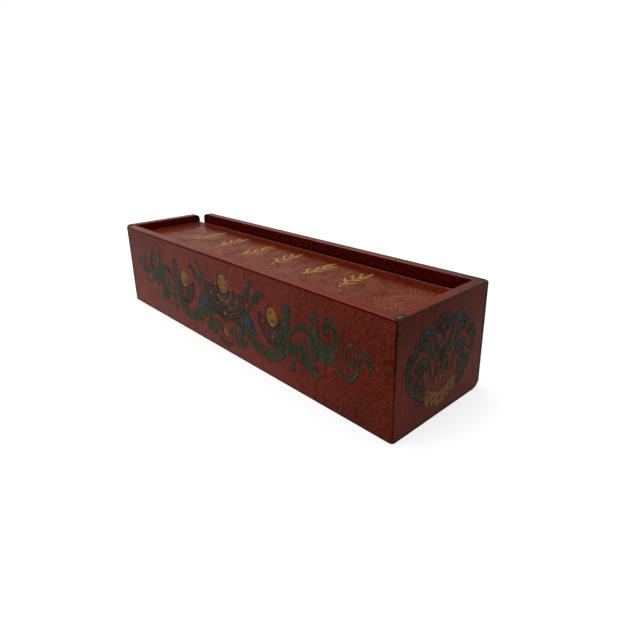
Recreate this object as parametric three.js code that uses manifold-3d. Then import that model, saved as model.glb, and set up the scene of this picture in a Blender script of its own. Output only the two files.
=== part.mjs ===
import * as THREE from 'three';
import { mergeVertices } from 'three/addons/utils/BufferGeometryUtils.js';
import Module from 'manifold-3d';

// A long lacquered wooden box with a sliding lid, in millimetres, +Z up. The origin is at
// the centre of the base's underside. The closed end faces +X, the decorated front faces
// -Y, and the lid draws out at -X, over the low end wall.

// Overall size of the case
const boxLength = 361;
const boxWidth = 101;
const boxHeight = 82;

// Boards of the case
const wallThickness = 8;
const baseThickness = 7;
const baseRebateDepth = 5;
const outerEdgeRadius = 1.5;
const openCornerRadius = 3.5;

// Secret mitred finger joint at each corner
const mitreLap = 3;
const mitreCapHeight = 6;
const tallCornerFingers = 7;
const lowCornerFingers = 5;

// Lid board, with its depth measured from the rim to its upper surface
const lidDepth = 10;
const lidThickness = 7;
const lidEdgeRadius = 0.8;
const lidSideGap = 0.8;
const lidRunningGap = 0.4;
const lidShoulderGap = 0.5;
const lidOpening = 19.5;

// Tongues of the lid and the grooves that they run in
const tongueThickness = 3;
const tongueDrop = 2.5;
const sideTongueReach = 3.2;
const sideTongueSetback = 22;
const noseReach = 4.6;
const grooveSlack = 0.3;
const grooveEndGap = 0.4;

// Rail across the lid's outer end, with its top measured down from the rim
const railThickness = 10.5;
const railDrop = 2.4;
const railSeatDepth = 1.5;
const railEndGap = 0.3;
const railEdgeRadius = 1.5;
const railCornerRadius = 3.5;

// Square bamboo pegs, driven from below
const pegWidth = 2.5;
const pegTipWidth = 1.2;
const pegTipLength = 1.5;
const pegTipGap = 0.5;
const basePegGrip = 9;
const railPegGrip = 5;
const longSidePegs = 4;
const endPegs = 2;
const railPegs = 3;

const arcSteps = 6;

// Levels and faces that several pieces share
const endX = boxLength / 2;
const sideY = boxWidth / 2;
const innerX = endX - wallThickness;
const innerY = sideY - wallThickness;
const lidTop = boxHeight - lidDepth;
const lidBottom = lidTop - lidThickness;
const lowWallTop = lidBottom - lidRunningGap;
const tongueTop = lidTop - tongueDrop;
const tongueBottom = tongueTop - tongueThickness;
const noseBottom = lidTop - tongueThickness;
const lidHalfWidth = innerY - lidSideGap;
const lidShoulderX = innerX - lidShoulderGap;
const railFoot = lidTop - railSeatDepth;
const railTop = boxHeight - railDrop;
const baseX = endX - wallThickness + baseRebateDepth;
const baseY = sideY - wallThickness + baseRebateDepth;

const redLacquer = { color: 0x6b231c, roughness: 0.35, metalness: 0 };
const darkLacquer = { color: 0x35120f, roughness: 0.4, metalness: 0 };
const bamboo = { color: 0xa98b57, roughness: 0.6, metalness: 0 };

const wasm = await Module();
wasm.setup();

function solidFrom(geometry) {
  geometry.deleteAttribute('normal');
  geometry.deleteAttribute('uv');
  const merged = mergeVertices(geometry);
  const vertProperties = new Float32Array(merged.getAttribute('position').array);
  const triVerts = new Uint32Array(merged.getIndex().array);
  return new wasm.Manifold(new wasm.Mesh({ numProp: 3, vertProperties, triVerts }));
}

// A solid of one outline along an axis, drawn as (y, z) for x, (z, x) for y and (x, y)
// for z. Its two end faces are put exactly at their levels, so that neighbours meet there.
function prism(axis, outline, from, to) {
  const depth = to - from;
  const geometry = new THREE.ExtrudeGeometry(outline, {
    depth,
    bevelEnabled: false,
    curveSegments: arcSteps,
  });
  const corners = geometry.getAttribute('position');
  for (let i = 0; i < corners.count; i += 1) {
    const u = corners.getX(i);
    const v = corners.getY(i);
    const along = corners.getZ(i) < depth / 2 ? from : to;
    if (axis === 'x') corners.setXYZ(i, along, u, v);
    if (axis === 'y') corners.setXYZ(i, v, along, u);
    if (axis === 'z') corners.setXYZ(i, u, v, along);
  }
  return solidFrom(geometry);
}

// A rectangle from its low corner to its high corner, with a radius for each corner in
// turn: low u and low v, high u and low v, high u and high v, low u and high v.
function rectangle(lowU, lowV, highU, highV, radii = [0, 0, 0, 0]) {
  const [first, second, third, fourth] = radii;
  const quarter = Math.PI / 2;
  const shape = new THREE.Shape();
  shape.moveTo(lowU + first, lowV);
  shape.lineTo(highU - second, lowV);
  if (second) shape.absarc(highU - second, lowV + second, second, -quarter, 0, false);
  shape.lineTo(highU, highV - third);
  if (third) shape.absarc(highU - third, highV - third, third, 0, quarter, false);
  shape.lineTo(lowU + fourth, highV);
  if (fourth) shape.absarc(lowU + fourth, highV - fourth, fourth, quarter, 2 * quarter, false);
  shape.lineTo(lowU, lowV + first);
  if (first) shape.absarc(lowU + first, lowV + first, first, 2 * quarter, 3 * quarter, false);
  return shape;
}

function block(low, high) {
  return prism('z', rectangle(low[0], low[1], high[0], high[1]), low[2], high[2]);
}

function piece(name, solid, finish) {
  const { vertProperties, triVerts } = solid.getMesh();
  const geometry = new THREE.BufferGeometry();
  geometry.setAttribute('position', new THREE.BufferAttribute(vertProperties, 3));
  geometry.setIndex(new THREE.BufferAttribute(triVerts, 1));
  geometry.computeVertexNormals();
  const mesh = new THREE.Mesh(geometry, new THREE.MeshStandardMaterial(finish));
  mesh.name = name;
  return mesh;
}

// Places spread evenly over a length, with half a step left at each end.
function spread(count, length) {
  return Array.from({ length: count }, (_, i) => length * ((i + 0.5) / count - 0.5));
}

// What an end wall holds of one corner. Outside, the two walls meet in a mitred lap.
// Behind it, their fingers alternate from the base upwards. At the top the mitre runs
// right across, so that no finger shows on the rim.
function endShareOfCorner(signX, signY, top, fingers) {
  const at = (fromEnd, fromSide) =>
    new THREE.Vector2(signX * (endX - fromEnd), signY * (sideY - fromSide));
  const lap = new THREE.Shape([
    at(0, 0),
    at(mitreLap, mitreLap),
    at(mitreLap, wallThickness),
    at(0, wallThickness),
  ]);
  const finger = new THREE.Shape([
    at(mitreLap, mitreLap),
    at(wallThickness, mitreLap),
    at(wallThickness, wallThickness),
    at(mitreLap, wallThickness),
  ]);
  const cap = new THREE.Shape([at(0, 0), at(wallThickness, wallThickness), at(0, wallThickness)]);
  const capBottom = top - mitreCapHeight;
  const fingerHeight = (capBottom - baseThickness) / fingers;
  let share = prism('z', lap, 0, capBottom).add(prism('z', cap, capBottom, top));
  for (let i = 1; i < fingers; i += 2) {
    const low = baseThickness + i * fingerHeight;
    const high = baseThickness + (i + 1) * fingerHeight;
    share = share.add(prism('z', finger, low, high));
  }
  return share;
}

// Peg places in the base, each centred on the part of the base that lies in a rebate
const longPegY = baseY - baseRebateDepth / 2;
const endPegX = baseX - baseRebateDepth / 2;
const basePegPlaces = [];
for (const sign of [-1, 1]) {
  for (const x of spread(longSidePegs, 2 * innerX)) basePegPlaces.push([x, sign * longPegY]);
  for (const y of spread(endPegs, 2 * innerY)) basePegPlaces.push([sign * endPegX, y]);
}
const railPegX = -endX + railThickness / 2;
const railPegPlaces = spread(railPegs, 2 * lidHalfWidth).map((y) => [railPegX, y]);

function pegHoles(places, from, to) {
  const half = pegWidth / 2;
  const holes = places.map(([x, y]) => block([x - half, y - half, from], [x + half, y + half, to]));
  return holes.reduce((all, hole) => all.add(hole));
}

// A square peg that stands on its own origin, with a tapered tip.
function peg(length) {
  const half = pegWidth / 2;
  const shank = block([-half, -half, 0], [half, half, length - pegTipLength]);
  const tip = new THREE.CylinderGeometry(
    pegTipWidth * Math.SQRT1_2,
    pegWidth * Math.SQRT1_2,
    pegTipLength,
    4,
  );
  tip.rotateY(Math.PI / 4);
  tip.rotateX(Math.PI / 2);
  tip.translate(0, 0, length - pegTipLength / 2);
  return shank.add(solidFrom(tip));
}

function addPegs(group, name, places, level, length) {
  places.forEach(([x, y], i) => {
    const mesh = piece(`${name}_${i + 1}`, peg(length), bamboo);
    mesh.position.set(x, y, level);
    group.add(mesh);
  });
}

// Shape of the whole case: rounded upright edges, and rounded rim corners at the open end.
const uprightEdges = prism(
  'z',
  rectangle(-endX, -sideY, endX, sideY, Array(4).fill(outerEdgeRadius)),
  0,
  boxHeight,
);
const openEndProfile = prism(
  'y',
  rectangle(0, -endX, boxHeight, endX, [0, openCornerRadius, 0, 0]),
  -sideY,
  sideY,
);
const caseShape = uprightEdges.intersect(openEndProfile);

const baseSpace = block([-baseX, -baseY, 0], [baseX, baseY, baseThickness]);
const basePegTop = baseThickness + basePegGrip;
const basePegHoles = pegHoles(basePegPlaces, 0, basePegTop + pegTipGap);

const closedCorners = [-1, 1].map((signY) =>
  endShareOfCorner(1, signY, boxHeight, tallCornerFingers),
);
const openCorners = [-1, 1].map((signY) =>
  endShareOfCorner(-1, signY, lowWallTop, lowCornerFingers),
);

// A long side wall, with a groove for the lid's tongue that is open at the low end.
function longWall(signY) {
  const index = signY < 0 ? 0 : 1;
  const outer = signY * sideY;
  const inner = signY * innerY;
  const grooveFloor = signY * (innerY + sideTongueReach + grooveEndGap);
  const board = block(
    [-endX, Math.min(outer, inner), 0],
    [endX, Math.max(outer, inner), boxHeight],
  );
  const groove = block(
    [-endX, Math.min(inner, grooveFloor), tongueBottom - grooveSlack],
    [innerX, Math.max(inner, grooveFloor), tongueTop + grooveSlack],
  );
  return board
    .subtract(closedCorners[index])
    .subtract(openCorners[index])
    .subtract(baseSpace)
    .subtract(basePegHoles)
    .subtract(groove)
    .intersect(caseShape);
}

// The full-height end wall, with a groove that takes the lid's nose when it is shut.
function closedEndWall() {
  const board = block([innerX, -innerY, 0], [endX, innerY, boxHeight]);
  const groove = block(
    [innerX, -innerY, noseBottom - grooveSlack],
    [innerX + noseReach + grooveEndGap, innerY, lidTop + grooveSlack],
  );
  return board
    .add(closedCorners[0])
    .add(closedCorners[1])
    .subtract(baseSpace)
    .subtract(basePegHoles)
    .subtract(groove)
    .intersect(caseShape);
}

// The low end wall, which stops just under the lid.
function lowEndWall() {
  const board = block([-endX, -innerY, 0], [-innerX, innerY, lowWallTop]);
  return board
    .add(openCorners[0])
    .add(openCorners[1])
    .subtract(baseSpace)
    .subtract(basePegHoles)
    .intersect(caseShape);
}

// The lid board as it lies when shut: a field with rounded upper edges, a tongue along
// each side, and a nose that carries the upper surface on into the closed end.
const railPegHoles = pegHoles(railPegPlaces, lidBottom, lidTop + railPegGrip + pegTipGap);

function lidBoard() {
  const field = prism(
    'x',
    rectangle(-lidHalfWidth, lidBottom, lidHalfWidth, lidTop, [0, 0, lidEdgeRadius, lidEdgeRadius]),
    -endX,
    lidShoulderX,
  );
  const tongueY = innerY + sideTongueReach;
  const tongues = block(
    [-endX + sideTongueSetback, -tongueY, tongueBottom],
    [lidShoulderX, tongueY, tongueTop],
  );
  const nose = block(
    [lidShoulderX, -lidHalfWidth, noseBottom],
    [innerX + noseReach, lidHalfWidth, lidTop],
  );
  const railSeat = block(
    [-endX, -innerY, railFoot],
    [-endX + railThickness, innerY, boxHeight],
  );
  return field.add(tongues).add(nose).subtract(railSeat).subtract(railPegHoles);
}

// The rail that the lid is drawn by: rounded ends, softened upper edges.
function lidRail() {
  const halfLength = innerY - railEndGap;
  const elevation = prism(
    'x',
    rectangle(-halfLength, railFoot, halfLength, railTop, [0, 0, railCornerRadius, railCornerRadius]),
    -endX,
    -endX + railThickness,
  );
  const section = prism(
    'y',
    rectangle(railFoot, -endX, railTop, -endX + railThickness, [0, railEdgeRadius, railEdgeRadius, 0]),
    -halfLength,
    halfLength,
  );
  return elevation.intersect(section).subtract(railPegHoles);
}

const group = new THREE.Group();

const caseGroup = new THREE.Group();
const baseBoard = baseSpace.subtract(basePegHoles);
caseGroup.add(piece('front_wall', longWall(-1), redLacquer));
caseGroup.add(piece('back_wall', longWall(1), redLacquer));
caseGroup.add(piece('closed_end_wall', closedEndWall(), redLacquer));
caseGroup.add(piece('low_end_wall', lowEndWall(), redLacquer));
caseGroup.add(piece('base_board', baseBoard, darkLacquer));
addPegs(caseGroup, 'base_peg', basePegPlaces, 0, basePegTop);
group.add(caseGroup);

const lidGroup = new THREE.Group();
lidGroup.position.x = -lidOpening;
lidGroup.add(piece('lid_board', lidBoard(), redLacquer));
lidGroup.add(piece('lid_rail', lidRail(), redLacquer));
addPegs(lidGroup, 'rail_peg', railPegPlaces, lidBottom, lidThickness + railPegGrip);
group.add(lidGroup);

export default group;
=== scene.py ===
import math

import bpy
from mathutils import Matrix, Vector


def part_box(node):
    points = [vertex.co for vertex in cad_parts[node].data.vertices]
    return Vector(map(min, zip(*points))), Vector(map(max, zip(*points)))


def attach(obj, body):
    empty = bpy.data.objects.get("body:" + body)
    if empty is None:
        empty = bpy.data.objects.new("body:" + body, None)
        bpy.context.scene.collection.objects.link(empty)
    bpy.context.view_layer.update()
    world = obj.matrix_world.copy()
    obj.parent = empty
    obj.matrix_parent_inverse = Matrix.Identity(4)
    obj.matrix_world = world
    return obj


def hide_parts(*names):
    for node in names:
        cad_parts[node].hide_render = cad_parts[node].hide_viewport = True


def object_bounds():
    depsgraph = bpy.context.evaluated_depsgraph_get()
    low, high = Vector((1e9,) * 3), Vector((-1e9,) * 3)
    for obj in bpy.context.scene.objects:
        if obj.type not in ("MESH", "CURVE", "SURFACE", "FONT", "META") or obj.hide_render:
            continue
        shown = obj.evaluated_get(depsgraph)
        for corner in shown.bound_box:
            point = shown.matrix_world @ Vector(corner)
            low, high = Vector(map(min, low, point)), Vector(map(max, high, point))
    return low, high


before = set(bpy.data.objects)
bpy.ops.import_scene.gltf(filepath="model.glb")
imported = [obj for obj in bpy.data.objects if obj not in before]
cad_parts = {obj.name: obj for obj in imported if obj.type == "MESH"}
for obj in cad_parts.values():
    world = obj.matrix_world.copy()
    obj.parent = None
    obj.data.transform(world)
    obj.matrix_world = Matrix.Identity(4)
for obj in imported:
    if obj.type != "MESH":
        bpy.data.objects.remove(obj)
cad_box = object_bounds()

# The camera stands to the right of the decorated front, about half a metre away and a
# little above the box, as a phone is held over a table. Its lens is a phone's wide one.
MM = 0.001
camera_place = Vector((335.63, -253.80, 191.09)) * MM
camera_azimuth = math.radians(47.041)
camera_elevation = math.radians(19.337)
camera_roll = math.radians(-0.851)
bpy.ops.object.camera_add(location=camera_place)
camera = bpy.context.object
camera.name = "camera"
camera.data.sensor_width = 36
camera.data.lens = 27.826
camera.data.shift_x = 0.00145
camera.data.shift_y = -0.05088
camera.data.clip_start = 0.01
camera_turn = (
    Matrix.Rotation(camera_azimuth, 4, "Z")
    @ Matrix.Rotation(math.radians(90) - camera_elevation, 4, "X")
    @ Matrix.Rotation(camera_roll, 4, "Z")
)
camera.matrix_world = Matrix.Translation(camera_place) @ camera_turn
bpy.context.scene.camera = camera
bpy.context.scene.view_settings.view_transform = "Standard"


# The studio is a white table top that runs out of sight, under one broad soft lamp overhead
# and a weaker one to the left. The floor turns pure white away from the box.
def put(socket, value):
    """Links a socket's input to another socket, or sets its own value, a colour as opaque."""
    if isinstance(value, bpy.types.NodeSocket):
        socket.id_data.links.new(value, socket)
    else:
        socket.default_value = (*value, 1) if socket.type == "RGBA" else value


def tree_of(*values):
    """The node tree of the first socket among some values."""
    return next(value.id_data for value in values if isinstance(value, bpy.types.NodeSocket))


def add(tree, kind, settings=None, **inputs):
    """Adds a node. An input's spaces are written as underscores."""
    node = tree.nodes.new("ShaderNode" + kind)
    for name, value in (settings or {}).items():
        setattr(node, name, value)
    for name, value in inputs.items():
        put(node.inputs[name.replace("_", " ")], value)
    return node


def calc(operation, *values, clamp=False):
    """The result of a Math node."""
    node = add(tree_of(*values), "Math", {"operation": operation, "use_clamp": clamp})
    for socket, value in zip(node.inputs, values):
        put(socket, value)
    return node.outputs[0]


def vector(operation, *values, **inputs):
    """The result of a Vector Math node."""
    tree = tree_of(*values, *inputs.values())
    node = add(tree, "VectorMath", {"operation": operation}, **inputs)
    for socket, value in zip(node.inputs, values):
        put(socket, value)
    return node.outputs["Value" if operation in ("LENGTH", "DISTANCE") else "Vector"]


def ramp(value, low, high, to_low=0.0, to_high=1.0):
    """A value's place between two limits, moved to between two others."""
    limits = {"From_Min": low, "From_Max": high, "To_Min": to_low, "To_Max": to_high}
    return add(tree_of(value), "MapRange", Value=value, **limits).outputs["Result"]


def seen_directly(tree):
    """1 for rays from the camera, and for those that a shiny or clear surface sends on."""
    path = add(tree, "LightPath").outputs
    first = calc("MAXIMUM", path["Is Camera Ray"], path["Is Glossy Ray"])
    return calc("MAXIMUM", first, path["Is Transmission Ray"])


world = bpy.data.worlds.new("studio")
bpy.context.scene.world = world
world.use_nodes = True
sky = world.node_tree
room_light = 0.35
put(sky.nodes["Background"].inputs["Color"], (1, 1, 1))
put(sky.nodes["Background"].inputs["Strength"], ramp(seen_directly(sky), 0, 1, room_light, 1))

bpy.ops.mesh.primitive_circle_add(vertices=96, radius=30, fill_type="NGON")
floor = bpy.context.object
floor.name = "floor"
floor_finish = bpy.data.materials.new("white_floor")
floor_finish.use_nodes = True
tree = floor_finish.node_tree
distance = vector("LENGTH", add(tree, "TexCoord").outputs["Object"])
glow = ramp(distance, 0.2, 1.0, 0.72, 1.0)
for name, value in {
    "Base Color": (0.45, 0.45, 0.45),
    "Roughness": 0.9,
    "Specular IOR Level": 0.0,
    "Emission Color": (1, 1, 1),
    "Emission Strength": calc("MULTIPLY", glow, seen_directly(tree)),
}.items():
    put(tree.nodes["Principled BSDF"].inputs[name], value)
floor.data.materials.append(floor_finish)

for name, place, aim, size, power in (
    ("overhead", (-0.3, 0.1, 1.6), (0, 0, 0), 1.6, 17),
    ("left_fill", (-0.7, -1.7, 0.7), (0, 0, 0.04), 1.2, 13),
):
    bpy.ops.object.light_add(type="AREA", location=place)
    light = bpy.context.object
    light.name = name
    light.data.size = size
    light.data.energy = power
    light.rotation_euler = (Vector(aim) - Vector(place)).to_track_quat("-Z", "Y").to_euler()


# The four walls are boards lacquered red outside and a deeper red inside, over mitred
# corners. Use has eased their edges and rubbed them dark, worn the corners of the closed
# end round and chipped one at the rim.
case_low, case_high = Vector(cad_box[0]), Vector(cad_box[1])
case_low.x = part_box("low_end_wall")[0].x
low_wall_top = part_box("low_end_wall")[1].z
cut_back = 0.1 * MM  # rubbed off the outer faces, to hold the ornament
wall_easing = 0.7 * MM
smooth_below = math.radians(40)


def blend(factor, first, second, kind="RGBA"):
    """What lies between two colours, or two values, by a factor."""
    node = add(tree_of(factor, first, second), "Mix", {"data_type": kind})
    start, result = {"FLOAT": (2, 0), "RGBA": (6, 2)}[kind]
    for index, value in ((0, factor), (start, first), (start + 1, second)):
        put(node.inputs[index], value)
    return node.outputs[result]


def between(value, low, high, to_low=0.0, to_high=1.0):
    """A value's place between two limits in mm, moved to between two others."""
    return ramp(value, low * MM, high * MM, to_low, to_high)


def layered(colour, *layers):
    """A colour under others, each given with how much of it covers what is below."""
    for cover, upper in layers:
        colour = blend(cover, colour, upper)
    return colour


def times(first, *others):
    """A product of values."""
    for other in others:
        first = calc("MULTIPLY", first, other)
    return first


def without(value):
    """What a value leaves of 1."""
    return calc("SUBTRACT", 1.0, value)


def noise(place, scale, detail=2, roughness=0.5):
    """Cloudy values around a half."""
    settings = {"Scale": scale, "Detail": detail, "Roughness": roughness}
    return add(tree_of(place), "TexNoise", Vector=place, **settings).outputs["Fac"]


def stretched(place, *scale):
    """A place scaled along each axis, which stretches a pattern where the scale is small."""
    return add(tree_of(place), "Mapping", Vector=place, Scale=scale).outputs[0]


def split(place):
    """A place's three values."""
    return add(tree_of(place), "SeparateXYZ", Vector=place).outputs


def new_group(name, inputs, outputs):
    """A node group with sockets of given names and kinds, and its two ends."""
    group = bpy.data.node_groups.new(name, "ShaderNodeTree")
    for way, sockets in (("INPUT", inputs), ("OUTPUT", outputs)):
        for label, kind in sockets.items():
            group.interface.new_socket(label, in_out=way, socket_type="NodeSocket" + kind)
    start = group.nodes.new("NodeGroupInput").outputs
    return group, start, group.nodes.new("NodeGroupOutput").inputs


def use(group, **inputs):
    """Places a node group in a material and gives its outputs."""
    return add(tree_of(*inputs.values()), "Group", {"node_tree": group}, **inputs).outputs


def worn_edges_group():
    """How near a point is to the edges of a boxy board, broken up by use, and how deep in."""
    group, start, end = new_group(
        "worn_edges",
        {"Vector": "Vector", "Low": "Vector", "High": "Vector"}
        | {"Upright": "Float", "Ends": "Float", "Sides": "Float"},
        {name: "Float" for name in ("Upright", "Ends", "Sides", "Depth", "Inwards")},
    )
    above = vector("SUBTRACT", start["Vector"], start["Low"])
    below = vector("SUBTRACT", start["High"], start["Vector"])
    x, y, z = split(vector("MINIMUM", above, below))
    reach = ramp(noise(start["Vector"], 170, 4, 0.7), 0.3, 0.7, 0.5, 1.6)
    steepness = 2.6
    for pair, width in (((x, y), "Upright"), ((x, z), "Ends"), ((y, z), "Sides")):
        away = calc("DIVIDE", calc("MAXIMUM", *pair), times(start[width], reach))
        put(end[width], calc("MULTIPLY", without(away), steepness, clamp=True))
    inwards = calc("MINIMUM", x, y)
    put(end["Inwards"], inwards)
    put(end["Depth"], calc("MINIMUM", inwards, z))
    return group


def old_lacquer_group():
    """Many thin coats, clouded by age, streaked by the brush and speckled with dust."""
    group, start, end = new_group(
        "old_lacquer",
        {"Vector": "Vector", "Light": "Color", "Dark": "Color", "Polish": "Float"},
        {"Color": "Color", "Roughness": "Float", "Height": "Float", "Film": "Vector"},
    )
    place = start["Vector"]
    cloud = noise(place, 24, 5, 0.62)
    streak = noise(stretched(place, 1, 1, 0.1), 330, 3)
    speck = noise(place, 400, 4, 0.65)
    mottle = calc("MULTIPLY_ADD", streak, 0.42, times(cloud, 0.58))
    lacquer = blend(ramp(mottle, 0.41, 0.59), start["Dark"], start["Light"])
    put(end["Color"], vector("SCALE", lacquer, Scale=ramp(speck, 0.34, 0.66, 0.56, 1.44)))
    grime = ramp(noise(place, 420, 3, 0.7), 0.40, 0.72, -0.4, 1.0)
    put(end["Film"], vector("SCALE", (0.022, 0.013, 0.011), Scale=grime))
    dull = times(calc("SUBTRACT", cloud, 0.5), 0.3)
    put(end["Roughness"], calc("ADD", start["Polish"], dull))
    put(end["Height"], calc("MULTIPLY_ADD", speck, 0.08, noise(place, 60)))
    return group


def diaper_group():
    """Fine incised lozenges under curling waves, once gilt and now partly rubbed away."""
    group, start, end = new_group(
        "diaper", {"Vector": "Vector", "Pitch": "Float"}, {"Cut": "Float", "Gilt": "Float"}
    )
    u, v, _ = split(start["Vector"])
    line_share, waves_to_pitch = 0.2, 0.314
    lattice = []
    for sign in (1, -1):
        diagonal = calc("DIVIDE", calc("MULTIPLY_ADD", v, sign, u), start["Pitch"])
        lattice.append(calc("ABSOLUTE", calc("SUBTRACT", calc("FRACT", diagonal), 0.5)))
    to_line = calc("SUBTRACT", 0.5, calc("MAXIMUM", *lattice))
    lozenge = calc("SUBTRACT", 1.0, calc("DIVIDE", to_line, line_share), clamp=True)
    swirls = add(
        group,
        "TexWave",
        {"wave_type": "BANDS", "bands_direction": "X"},
        Vector=start["Vector"],
        Scale=calc("DIVIDE", waves_to_pitch, start["Pitch"]),
        Distortion=19,
        Detail=1,
        Detail_Scale=0.75,
        Detail_Roughness=0.6,
    ).outputs["Fac"]
    cut = calc("MAXIMUM", ramp(swirls, 0.45, 0.85), times(lozenge, 0.3))
    put(end["Cut"], cut)
    put(end["Gilt"], times(cut, ramp(noise(start["Vector"], 60, 6, 0.75), 0.3, 0.6)))
    return group


worn_edges = worn_edges_group()
old_lacquer = old_lacquer_group()
diaper = diaper_group()


def new_finish(name, specular):
    """An empty material, its shader and the place on the object."""
    finish = bpy.data.materials.new(name)
    finish.use_nodes = True
    shader = finish.node_tree.nodes["Principled BSDF"]
    put(shader.inputs["Specular IOR Level"], specular)
    return finish, shader, add(finish.node_tree, "TexCoord").outputs["Object"]


def filmed(colour, coats):
    """A colour under the thin uneven film of grime that dulls old lacquer."""
    return vector("MAXIMUM", vector("ADD", colour, coats["Film"]))


def finished(shader, colour, roughness, height, depth, strength=0.5):
    """Gives a shader its colour, its roughness and a fine relief."""
    put(shader.inputs["Base Color"], colour)
    put(shader.inputs["Roughness"], roughness)
    bump = add(shader.id_data, "Bump", Distance=depth, Strength=strength, Height=height)
    put(shader.inputs["Normal"], bump.outputs[0])


def paint(piece, finish):
    piece.data.materials.clear()
    piece.data.materials.append(finish)


def only_this(piece):
    bpy.ops.object.select_all(action="DESELECT")
    bpy.context.view_layer.objects.active = piece
    piece.select_set(True)


def rounding(corner, first, second, radius):
    """Planes that round over the edge through a corner, between two faces' outward normals."""
    corner, first, second = Vector(corner), Vector(first), Vector(second)
    planes = []
    for turn in (22.5, 45, 67.5):
        outward = first * math.cos(math.radians(turn)) + second * math.sin(math.radians(turn))
        planes.append((corner + (outward - first - second) * radius, outward))
    return planes


def lacquered(node, name, finish, body, easing, exposed, cuts=(), skin=0.0):
    """A merged copy of a board stands for it, with its exposed edges rounded over. It is
    cut on planes, and its outer faces are rubbed back by the depth of a skin."""
    piece = bpy.data.objects.new(name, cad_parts[node].data.copy())
    bpy.context.scene.collection.objects.link(piece)
    only_this(piece)
    bpy.ops.object.mode_set(mode="EDIT")
    bpy.ops.mesh.select_all(action="SELECT")
    bpy.ops.mesh.remove_doubles(threshold=0.002 * MM)
    bpy.ops.mesh.dissolve_limited(angle_limit=math.radians(0.5))
    for point, outward in cuts:
        bpy.ops.mesh.select_all(action="SELECT")
        bpy.ops.mesh.bisect(plane_co=point, plane_no=outward, use_fill=True, clear_outer=True)
    bpy.ops.object.mode_set(mode="OBJECT")
    mesh = piece.data
    for point in mesh.vertices if skin else ():
        point.co.x = min(max(point.co.x, case_low.x + skin), case_high.x - skin)
        point.co.y = min(max(point.co.y, case_low.y + skin), case_high.y - skin)
    faces_at = {}
    for face in mesh.polygons:
        for key in face.edge_keys:
            faces_at.setdefault(key, []).append(face.normal.copy())
    weights = mesh.attributes.new("bevel_weight_edge", "FLOAT", "EDGE")
    for edge in mesh.edges:
        first, second = (mesh.vertices[i].co for i in edge.vertices)
        normals = faces_at[edge.key]
        folded = len(normals) == 2 and normals[0].angle(normals[1]) > smooth_below
        shows = folded and exposed((first + second) / 2, normals)
        weights.data[edge.index].value = float(shows)
    bevel = piece.modifiers.new("easing", "BEVEL")
    bevel.width = easing
    bevel.segments = 3
    bevel.limit_method = "WEIGHT"
    bpy.ops.object.modifier_apply(modifier="easing")
    bpy.ops.object.shade_smooth_by_angle(angle=smooth_below)
    piece.modifiers.new("flat_faces", "WEIGHTED_NORMAL").keep_sharp = True
    bpy.ops.object.modifier_apply(modifier="flat_faces")
    low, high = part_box(node)
    for point in piece.data.vertices:
        limits = zip(point.co, low, high)
        point.co = [min(max(value, least), most) for value, least, most in limits]
    paint(piece, finish)
    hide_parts(node)
    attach(piece, body)


def wall_edge_shows(middle, normals):
    """The rim, the foot and the open end show. The mitres don't: the walls meet in them."""
    for normal in normals:
        across = normal.x * normal.y * middle.x * middle.y
        if abs(normal.z) < 0.1 and abs(abs(normal.x) - abs(normal.y)) < 0.02 and across < 0:
            return False
    near = 0.05 * MM
    past_side = max(abs(middle.x) - case_high.x, abs(middle.y) - case_high.y)
    on_rim = middle.z > case_high.z - 4 * MM
    on_foot = middle.z < near and past_side > -1.6 * MM
    on_low_wall = abs(middle.z - low_wall_top) < near and middle.x < case_low.x + 9 * MM
    on_open_end = middle.x < case_low.x + near and middle.z > low_wall_top
    return 0.4 if on_foot else on_rim or on_low_wall or on_open_end


wall_finish, shader, place = new_finish("case_lacquer", 0.022)
edge_black = (0.013, 0.006, 0.003)
# Dark brown for worn edges, and for painted shadow along the foot.
wear_and_shadow_brown = (0.040, 0.009, 0.003)
wall_light, wall_dark = (0.145, 0.0135, 0.0040), (0.088, 0.0078, 0.0022)
coats = use(old_lacquer, Vector=place, Light=wall_light, Dark=wall_dark, Polish=0.36)
x, y, z = split(place)
normal_x, _, normal_z = split(add(wall_finish.node_tree, "NewGeometry").outputs["Normal"])
upright = calc("LESS_THAN", calc("ABSOLUTE", normal_z), 0.5)
on_end = calc("GREATER_THAN", calc("ABSOLUTE", normal_x), 0.7)
on_side = times(upright, without(on_end))

# The outer faces are cut with a fine diaper, and the ends show the upright brushing. The long
# faces' middle and left and the end's middle are painted paler, as a painted sheen of the
# bright room, and the long faces' lowest band as a painted sheen from the floor. Painted shade
# darkens the top left and the long faces towards the closed end, and painted light makes the
# end lighter towards its top.
side_place = add(wall_finish.node_tree, "CombineXYZ", X=calc("ADD", x, y), Y=z).outputs[0]
fretwork = use(diaper, Vector=side_place, Pitch=1.8 * MM)
brushed = noise(stretched(place, 1, 1, 0.06), 420, 3, 0.6)
# Painted sheen: the bright room's reflection, painted paler on the long faces' middle and left
# and on the end's middle, with none at the top left.
spared = times(between(x, -60, -165), between(z, 20, 74))
front_sheen = times(between(x, 150, 10), without(spared))
front_sheen = times(front_sheen, between(z, 10, 78, 1.0, 0.72))
from_middle = calc("ABSOLUTE", calc("SUBTRACT", z, 42 * MM))
painted_sheen = blend(on_end, front_sheen, between(from_middle, 34, 10, 0.0, 0.35), "FLOAT")
patches = ramp(noise(stretched(place, 1, 1, 0.4), 330, 4, 0.7), 0.34, 0.66, 0.08, 0.76)
# Painted sheen from the floor: the long faces' lowest band is painted paler, fading out near
# the closed end.
low_front_sheen = times(between(x, 115, 70), between(z, 16, 7), on_side)
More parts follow.
